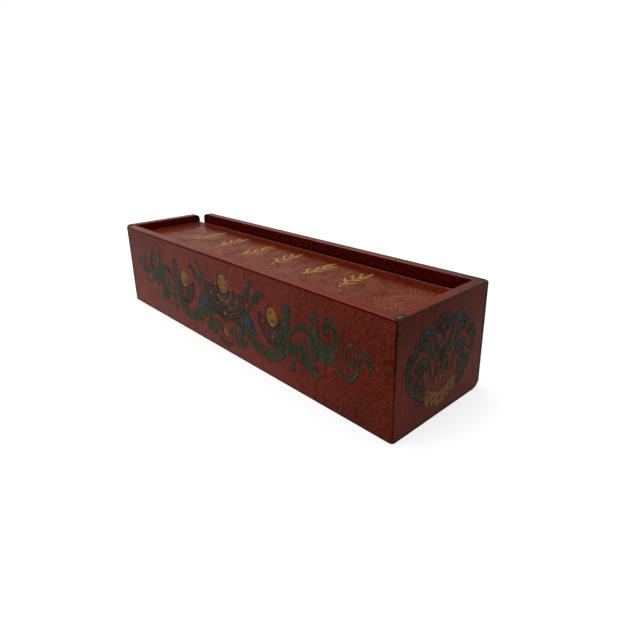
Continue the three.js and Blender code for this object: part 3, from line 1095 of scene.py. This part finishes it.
def veins(strokes, shares=(0.0,), middle=scroll_middle):
    """Lines that follow a stroke inside it, at shares of its half width, in both halves."""
    lines = []
    for stroke in strokes:
        line = smooth(stroke, 5)
        for share in shares:
            vein = []
            for i, (x, y, width) in enumerate(line[2:-2], 2):
                u, v = heading(line, i) * share * width / 2
                vein.append((x - v, y + u))
            lines.append(vein)
    return [(line, False) for line in lines + mirrored(lines, middle)]


# The flowers' gilt discs lie on dark shades, and the middle one has a ring of gilt beads.
# Small gilt seeds are set in the petals.
discs = [(1.3, 61.0, 7.8, 8.4), (65.6, 50.6, 6.5, 8.2), (0.9, 17.9, 3.4, 4.6)]
discs += mirrored([discs[1:2]])[0]
gold_shapes = [ellipse(*disc) for disc in discs]
shade_shift, shade_rim = 0.7, 0.9
shade_shapes = [
    ellipse(x - shade_shift, z - shade_shift, across + shade_rim, up + shade_rim)
    for x, z, across, up in discs
]
ring_x, ring_z, ring_across, ring_up = 1.3, 60.0, 12.4, 14.2
for turn in range(-174, -2, 14):
    t = math.radians(turn)
    bead_x, bead_z = ring_x + ring_across * math.cos(t), ring_z + ring_up * math.sin(t)
    gold_shapes.append(ellipse(bead_x, bead_z, 1.2, 1.35, 12))
for seed in (
    (20.6, 48.9, 1.2, 1.9),
    (1.3, 35.4, 1.4, 2.4),
    (11.0, 41.5, 0.9, 1.2),
    (54.5, 44.5, 1.0, 1.6),
    (66.4, 34.8, 1.2, 1.7),
):
    in_middle = seed[0] < 5
    for x, z, across, up in [seed] if in_middle else [seed, *mirrored([[seed]])[0]]:
        gold_shapes.append(ellipse(x, z, across, up, 10))

# Petals and wings lie on grounds of their own colour. The sprigs' leaves and the clubs are
# a bluer green than the stems.
lotus_round = lotus_ground + mirrored([lotus_ground[-2::-1]])[0]
grounds = [smooth(flower_ground, 5, True), smooth(lotus_round, 5, True)]
petal_outlines = grounds + mirrored(grounds[:1]) + both_halves(petal_strokes.values())
petal_outlines += [stroke_outline(stroke) for stroke in middle_petals.values()]
knob_outlines = [ellipse(*knob, 20) for knob in green_knobs]
teal_names = ("sprig leaf", "sprig right leaf", "club neck")
teal_outlines = both_halves(chosen(green_strokes, *teal_names))
teal_outlines += knob_outlines[:2] + mirrored(knob_outlines[:2])
green_outlines = both_halves(
    [stroke for name, stroke in green_strokes.items() if name not in teal_names]
)
green_outlines += knob_outlines[2:] + mirrored(knob_outlines[2:])
wing = [smooth(wing_ground, 4, True)]
blue_outlines = wing + mirrored(wing) + both_halves(blue_strokes.values())

# Lines are scored last: dark ones round the shapes and along their veins, a swirl on each
# disc, and pale or gilt ones along the stems, hooks and petals.
edges = rings(petal_outlines + blue_outlines + gold_shapes[: len(discs)])
swirl = [(0.5, 0.3), (0.2, 0.62), (-0.3, 0.5), (-0.45, 0.0), (-0.2, -0.45), (0.3, -0.4)]
swirl += [(0.35, 0.0), (0.0, 0.1)]
disc_lines = [
    (smooth([(x + u * across, z + v * up) for u, v in swirl], 4), False)
    for x, z, across, up in discs
]
gilt_lines = rings(both_halves(chosen(green_strokes, "tail", "tail branch", "sprig stalk")))
gilt_lines += veins(
    chosen(petal_strokes, "lotus upper petal", "flower inner petal", "flower cup")
)
gilt_lines += veins([green_strokes["limb"]], (0.96,))
gilt_lines += veins(chosen(green_strokes, "hook", "hook tip"), (-0.96, 0.96))
main_strokes = chosen(green_strokes, "stem", "limb", "hook")
teeth = ("first tooth", "second tooth", "third tooth")
leaves = ("first leaf", "second leaf", "third leaf", "fourth leaf")
pale_lines = veins(main_strokes, (-0.6, -0.2, 0.2, 0.6))
pale_lines += veins(chosen(green_strokes, "comma head", *teeth, "cloud curl"))
green_veins = veins(main_strokes, (-0.4, 0.0, 0.4))
green_veins += veins(chosen(green_strokes, "comma", *leaves, "cloud hook"))
petal_veins = veins(petal_strokes.values())
green_edges = rings(green_outlines + teal_outlines)
for face in ("front", "back"):
    inlaid(
        face,
        case_high.y - cut_back,
        ("petals", petal_outlines, 0.02, 0, purple_finish, "purple_lacquer"),
        ("green_edges", green_edges, 0.028, 1.05, dark_line, "green_lacquer"),
        ("stems", green_outlines, 0.04, 0, green_finish, "green_lacquer"),
        ("buds", teal_outlines, 0.064, 0, teal_finish, "green_lacquer"),
        ("blue_leaves", blue_outlines, 0.068, 0, blue_finish, "blue_lacquer"),
        ("gold", gold_shapes, 0.077, 0, gold_finish, "gold_lacquer"),
        ("shades", shade_shapes, 0.073, 0, shade_finish, "purple_lacquer"),
        ("outlines", edges + petal_veins, 0.086, 0.55, dark_line, "green_lacquer"),
        ("veins", green_veins, 0.08, 0.28, dark_line, "green_lacquer"),
        ("disc_lines", disc_lines, 0.084, 0.4, ochre_line, "gold_lacquer"),
        ("pale_lines", pale_lines, 0.082, 0.34, pale_line, "green_lacquer"),
        ("gilt_lines", gilt_lines, 0.088, 0.3, gilt_line, "gold_lacquer"),
    )


# The closed end carries an oval medallion in the same work, edged with dark lines: a wreath of
# green scrolls, a purple-brown cloud at its head, and a gilt cloud at its foot. It mirrors
# about its upright middle.
medallion_middle = -1.6
end_green = {
    "wreath": [
        (-19.5, 62.6, 1.4), (-24.2, 61.7, 3.8), (-28.7, 57.7, 4.7), (-31.7, 52.8, 4.8),
        (-35.8, 48.7, 4.8), (-37.7, 44.8, 4.0), (-38.0, 39.9, 3.5), (-37.2, 35.2, 3.5),
        (-34.2, 29.7, 3.8), (-30.0, 26.0, 4.2), (-25.3, 24.3, 4.7), (-21.7, 25.3, 3.8),
        (-21.2, 28.5, 2.2),
    ],
    "first tip": [(-34.2, 49.3, 4.0), (-38.3, 48.0, 4.0), (-41.8, 45.0, 0.4)],
    "second tip": [(-31.7, 54.0, 3.3), (-35.8, 53.5, 3.3), (-39.8, 51.8, 0.4)],
    "third tip": [(-26.7, 60.2, 3.7), (-29.7, 60.8, 2.8), (-32.3, 59.0, 0.4)],
    "fourth tip": [(-36.3, 40.3, 3.0), (-34.2, 38.5, 2.5), (-31.2, 38.7, 0.4)],
    "arch": [
        (-26.8, 57.7, 2.2), (-22.2, 58.8, 2.8), (-17.2, 57.3, 3.3), (-13.7, 53.5, 3.8),
        (-11.7, 49.3, 4.2), (-10.5, 45.3, 3.0), (-10.8, 43.0, 0.7),
    ],
    "inner arch": [
        (-25.5, 55.5, 0.8), (-21.3, 54.5, 1.8), (-17.8, 51.3, 2.3), (-16.5, 47.0, 2.5),
        (-17.5, 44.3, 0.7),
    ],
    "scroll head": [
        (-30.0, 41.5, 1.7), (-28.2, 44.8, 3.8), (-23.8, 46.0, 5.0), (-19.5, 44.3, 4.2),
        (-16.8, 40.8, 2.0), (-15.5, 40.3, 0.4),
    ],
    "scroll body": [
        (-24.0, 44.3, 5.0), (-25.0, 39.7, 5.0), (-25.8, 35.3, 4.8), (-23.3, 30.2, 5.0),
        (-21.2, 25.7, 3.3),
    ],
    "scroll tip": [(-25.5, 38.7, 2.5), (-21.8, 38.7, 2.8), (-18.5, 39.8, 0.4)],
    "small curl": [
        (-25.5, 35.3, 2.5), (-28.7, 35.3, 2.2), (-30.5, 33.3, 1.7), (-29.7, 31.0, 1.7),
        (-27.5, 31.0, 0.8),
    ],
}
end_blue = {
    "upper leaf": [
        (-27.2, 60.0, 1.6), (-24.0, 63.6, 4.8), (-19.5, 65.0, 5.4), (-15.3, 63.2, 3.4),
        (-12.3, 60.6, 0.4),
    ],
}
end_tendrils = {
    "lower leaf": [
        (-29.0, 21.0, 1.4), (-26.5, 19.0, 2.6), (-23.3, 17.2, 2.6), (-20.3, 16.6, 1.0),
    ],
    "tendril": [(-13.2, 61.2, 1.5), (-10.2, 57.3, 1.8), (-8.7, 53.3, 1.7), (-7.8, 49.3, 0.8)],
    "hook": [
        (-14.5, 39.3, 0.7), (-14.2, 34.8, 1.7), (-12.8, 30.5, 2.3), (-10.2, 30.2, 1.7),
        (-8.8, 33.0, 1.0), (-8.8, 37.0, 0.7),
    ],
    "bud leaf": [(-1.6, 46.2, 1.3), (-4.5, 47.3, 2.3), (-6.8, 49.7, 2.2), (-7.2, 52.2, 0.4)],
    "calyx leaf": [(-1.6, 44.3, 1.2), (-4.2, 44.0, 1.5), (-6.3, 45.2, 0.4)],
    "pearl curl": [
        (-1.6, 41.0, 1.0), (-4.8, 41.2, 1.5), (-7.7, 39.7, 1.7), (-8.3, 36.0, 1.5),
        (-7.5, 32.8, 1.3), (-6.0, 32.0, 0.7),
    ],
}
end_middle = [
    [
        (-1.6, 42.8, 1.9), (-1.6, 45.6, 2.6), (-1.6, 48.4, 6.2), (-1.6, 51.8, 8.0),
        (-1.6, 54.4, 4.6), (-1.6, 56.2, 0.8),
    ],
    [(-1.6, 39.6, 1.4), (-1.6, 36.8, 6.2), (-1.6, 33.6, 6.4), (-1.6, 31.2, 1.6)],
]
end_purple = {
    "upper lobe": [(-1.6, 65.3, 7.5), (-5.5, 67.3, 7.0), (-8.8, 68.0, 5.0), (-11.3, 68.3, 1.7)],
    "side lobe": [
        (-13.2, 65.6, 2.4), (-16.4, 67.6, 4.6), (-20.4, 67.6, 4.8), (-23.6, 65.0, 1.2),
    ],
    "lower lobe": [(-1.6, 63.7, 8.3), (-4.8, 63.0, 6.2), (-8.2, 62.0, 3.3), (-10.2, 62.7, 0.7)],
}
cloud_crown = [
    (-1.6, 58.7, 1.2), (-1.6, 61.0, 5.8), (-1.6, 65.3, 9.2), (-1.6, 69.5, 6.7),
    (-1.6, 72.0, 4.5), (-1.6, 74.3, 1.0),
]
gilt_cloud = [
    (-19.2, 15.4), (-19.6, 18.4), (-18.0, 21.4), (-16.6, 23.9), (-14.2, 23.4), (-12.4, 21.4),
    (-9.9, 21.2), (-7.4, 19.2), (-4.6, 18.9), (-1.6, 17.9), (1.4, 18.9), (4.2, 19.2),
    (6.7, 21.2), (9.2, 21.4), (11.0, 23.4), (13.4, 23.9), (14.8, 21.4), (16.4, 18.4),
    (16.0, 15.4), (14.4, 12.9), (12.2, 11.7), (10.4, 13.1), (8.9, 10.9), (6.6, 9.9),
    (5.2, 11.5), (3.2, 8.1), (0.2, 7.1), (-1.6, 8.6), (-3.6, 6.9), (-6.4, 8.1), (-8.4, 11.3),
    (-9.8, 9.5), (-12.1, 10.5), (-13.6, 12.9), (-15.4, 10.9), (-17.6, 12.1),
]
gilt_knot = [(-8.6, 31.4, 1.2), (-7.8, 27.6, 1.5), (-4.8, 24.4, 1.7), (-1.6, 23.0, 1.5)]


def beads(count, *places, flatness=1.0):
    """Rounds of a number of sides, each by its distance from the medallion's middle, its
    height and its radius. One beside the middle has its pair."""
    outlines = []
    for x, z, radius in places:
        for side in (-1, 1) if x else (1,):
            centre = medallion_middle + side * x
            outlines.append(ellipse(centre, z, radius, radius * flatness, count))
    return outlines


purple_outlines = both_halves(end_purple.values(), medallion_middle)
purple_outlines += [stroke_outline(cloud_crown)] + beads(16, (4.6, 70.6, 2.2), (0, 60.0, 2.4))
pearls = beads(
    14,
    (0, 68.9, 2.0),
    (4.4, 65.9, 1.9),
    (0, 64.2, 1.8),
    (8.6, 66.0, 1.5),
    (0, 36.0, 1.5),
    (0, 50.6, 1.6),
    (4.6, 61.6, 1.3),
)
green_outlines = both_halves(end_green.values(), medallion_middle)
green_outlines += both_halves(end_tendrils.values(), medallion_middle)
green_outlines += [stroke_outline(stroke) for stroke in end_middle]
blue_outlines = both_halves(end_blue.values(), medallion_middle)
gold_outlines = [smooth(gilt_cloud, 4, True)] + both_halves([gilt_knot], medallion_middle)
gold_outlines += beads(14, (0, 28.6, 1.7), (3.4, 31.6, 1.2), flatness=0.9)
dots = [
    ellipse(x, z, radius, radius, 12)
    for x, z, radius in (
        (-15.0, 19.6, 1.1),
        (-1.4, 13.2, 1.3),
        (11.4, 17.4, 1.0),
        (-9.0, 15.6, 0.6),
        (6.0, 15.4, 0.6),
    )
]
cloud_hook = [
    (-18.4, 14.2), (-18.0, 18.6), (-15.4, 21.2), (-12.4, 19.4), (-12.6, 16.2), (-15.0, 15.6),
    (-15.4, 17.8),
]
cloud_curl = [
    (-8.4, 12.2), (-7.6, 16.0), (-3.4, 17.2), (1.0, 15.8), (1.6, 12.6), (-1.6, 10.8),
    (-4.0, 12.2), (-2.6, 13.8),
]
cloud_lines = [cloud_hook, *mirrored([cloud_hook], medallion_middle), cloud_curl]
cloud_lines += [[(-12.8, 12.6), (-10.4, 13.4), (-9.6, 16.2)]]
cloud_lines += [[(4.4, 10.8), (4.0, 13.6), (6.4, 16.2)], [(8.8, 12.0), (7.4, 14.2)]]
gold_lines = rings(gold_outlines) + [(smooth(line, 5), False) for line in cloud_lines]
end_lines = rings(purple_outlines + green_outlines + blue_outlines + pearls)
end_veins = veins(
    chosen(end_green, "wreath", "arch", "scroll body"), middle=medallion_middle
)
end_gold = gold_lacquer("end_gold", (0.082, 0.027, 0.001), (0.190, 0.080, 0.003), 0.08)
inlaid(
    "end",
    case_high.x - cut_back,
    ("purple", purple_outlines, 0.03, 0, purple_finish, "purple_lacquer"),
    ("green", green_outlines, 0.045, 0, green_finish, "green_lacquer"),
    ("blue", blue_outlines, 0.06, 0, blue_finish, "blue_lacquer"),
    ("gold", gold_outlines, 0.068, 0, end_gold, "gold_lacquer"),
    ("dots", dots, 0.075, 0, shade_finish, "purple_lacquer"),
    ("outlines", end_lines, 0.086, 0.85, dark_line, "green_lacquer"),
    ("cloud_lines", gold_lines, 0.084, 0.5, ochre_line, "gold_lacquer"),
    ("pale_lines", end_veins, 0.082, 0.3, pale_line, "green_lacquer"),
)


# Six gilt sprays of willow leaves are brushed across the lid in a row, each a stalk with
# tapering leaves. They are painted over the diaper in gold lacquer, so they stand proud.
spray_stalk = [(-16, 2.0, 0.8), (-9, -0.4, 1.3), (0, -1.4, 1.4), (8, -0.6, 1.1), (15, 1.8, 0.6)]
spray_leaf = [(0, 0, 0.5), (2.6, 0.7, 1.9), (5.6, 0.8, 2.3), (8.4, 0.1, 1.5), (10.4, -1.1, 0.3)]
leaf_places = [
    (-12.5, 0.6, -38), (-8.0, -0.6, 44), (-4.0, -1.2, -44), (0.5, -1.4, 40), (4.5, -1.0, -40),
    (8.5, -0.5, 36), (11.5, 0.4, -30), (14.0, 1.4, 12),
]
spray_places = ((-114, 80), (-72, 96), (-29, 84), (12, 98), (54, 82), (94, 94))
spray_off_middle = 4
spray_level = 0.12
spray_gold = gold_lacquer("spray_gold", (0.25, 0.125, 0.018), (0.43, 0.245, 0.045), 0.06)


def placed(stroke, x, y, turn, flip=1):
    """A stroke, mirrored or not, turned by degrees and moved."""
    c, s = math.cos(math.radians(turn)), math.sin(math.radians(turn))
    return [
        (x + u * c - v * flip * s, y + u * s + v * flip * c, width) for u, v, width in stroke
    ]


sprays = []
for i, (x, turn) in enumerate(spray_places):
    flip = (1, -1)[i % 2]
    spray = [placed(spray_stalk, 0, 0, 0, flip)]
    for u, v, lean in leaf_places[i % 2 :]:
        curl = 1 if lean * flip > 0 else -1
        spray.append(placed(spray_leaf, u, v * flip, lean * flip, curl))
    sprays += [stroke_outline(placed(stroke, x, spray_off_middle, turn)) for stroke in spray]
spray_piece = fill("lid_sprays", sprays, spray_level)
against(spray_piece, "lid", lid_high.z, spray_gold, "lid")
